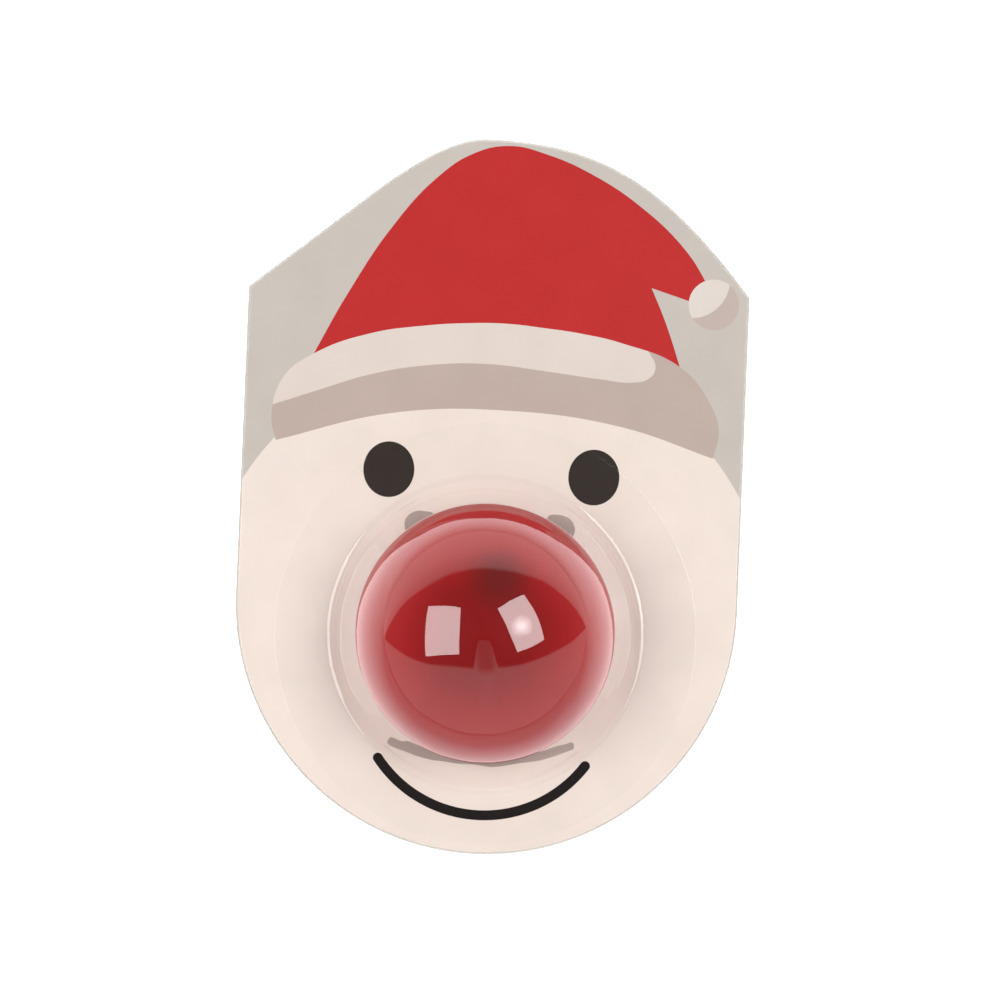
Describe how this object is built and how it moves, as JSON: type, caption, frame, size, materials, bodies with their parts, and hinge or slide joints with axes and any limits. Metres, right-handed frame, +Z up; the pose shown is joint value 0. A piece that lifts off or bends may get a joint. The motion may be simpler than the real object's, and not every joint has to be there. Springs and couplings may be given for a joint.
{
  "type": "clown nose on a printed display card",
  "caption": "Ball-shaped costume nose, open at the back, under a clear formed dome whose flat flange is sealed onto the face of a die-cut printed card that lies flat",
  "frame": {"origin": "under the middle of the card's outline, on the face that the card lies on", "axes": "+Z up out of the card through the nose, +Y towards the card's peak, +X to the right as the card is read"},
  "size_m": [0.1062, 0.1516, 0.0377],
  "materials": {
    "card_board": "matt uncoated board",
    "card_print": "flat inks on coated board, slight sheen",
    "clear_plastic": "clear, vacuum formed, high gloss",
    "nose_plastic": "deep red, glossy"
  },
  "bodies": {
    "root": {"card_back": "card_board", "card_front": "card_print", "clear_dome": "clear_plastic", "nose_shell": "nose_plastic"}
  },
  "joints": []
}
